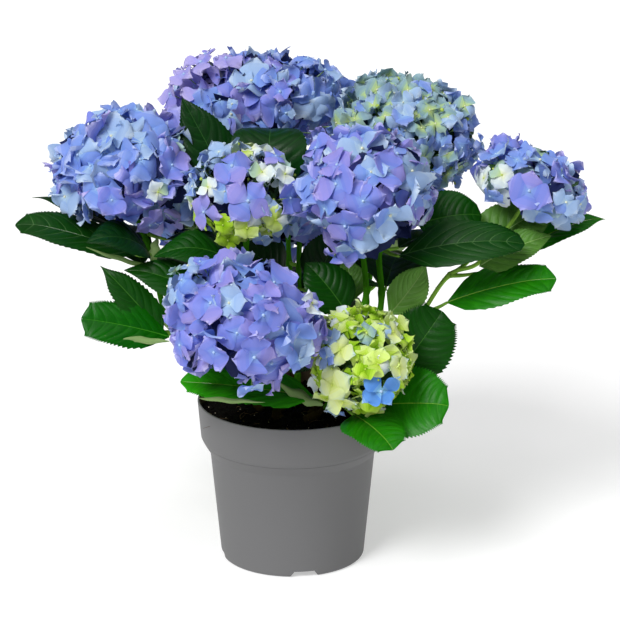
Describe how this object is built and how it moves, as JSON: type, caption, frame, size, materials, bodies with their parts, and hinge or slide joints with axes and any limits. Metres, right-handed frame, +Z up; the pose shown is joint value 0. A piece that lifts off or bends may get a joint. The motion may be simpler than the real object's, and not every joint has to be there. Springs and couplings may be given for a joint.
{
  "type": "potted hydrangea shrub",
  "caption": "Hydrangea shrub in full flower, with round blue, lilac and green flower heads on leafy canes, in a plain tapered plastic pot.",
  "frame": {"origin": "centre of the pot's flat underside, on the ground plane", "axes": "+Z up, +X to the right and -Y to the front as the picture shows the plant"},
  "size_m": [0.5862, 0.4586, 0.4796],
  "materials": {
    "pot": "matt moulded grey",
    "soil": "rough, moist potting compost",
    "cane": "smooth green stem with ridges",
    "leaf": "veined leaf with a soft gloss",
    "blossom_blue": "soft matt petals",
    "blossom_green": "soft matt petals",
    "blossom_lilac": "soft matt petals"
  },
  "bodies": {
    "root": {"pot": "pot", "soil": "soil", "cane_left": "cane", "leaves_left": "leaf", "bloom_left": "blossom_blue", "cane_top": "cane", "leaves_top": "leaf", "bloom_top": "blossom_blue", "cane_upper_right": "cane", "leaves_upper_right": "leaf", "bloom_upper_right": "blossom_blue", "cane_far_right": "cane", "leaves_far_right": "leaf", "bloom_far_right": "blossom_lilac", "cane_centre": "cane", "leaves_centre": "leaf", "bloom_centre": "blossom_blue", "cane_small_centre": "cane", "leaves_small_centre": "leaf", "bloom_small_centre": "blossom_green", "cane_inner": "cane", "leaves_inner": "leaf", "bloom_inner": "blossom_blue", "cane_lower_left": "cane", "leaves_lower_left": "leaf", "bloom_lower_left": "blossom_blue", "cane_lower_right": "cane", "leaves_lower_right": "leaf", "bloom_lower_right": "blossom_green", "cane_back_left": "cane", "leaves_back_left": "leaf", "bloom_back_left": "blossom_blue", "cane_back_right": "cane", "leaves_back_right": "leaf", "bloom_back_right": "blossom_blue", "cane_back_low": "cane", "leaves_back_low": "leaf", "bloom_back_low": "blossom_blue"}
  },
  "joints": []
}
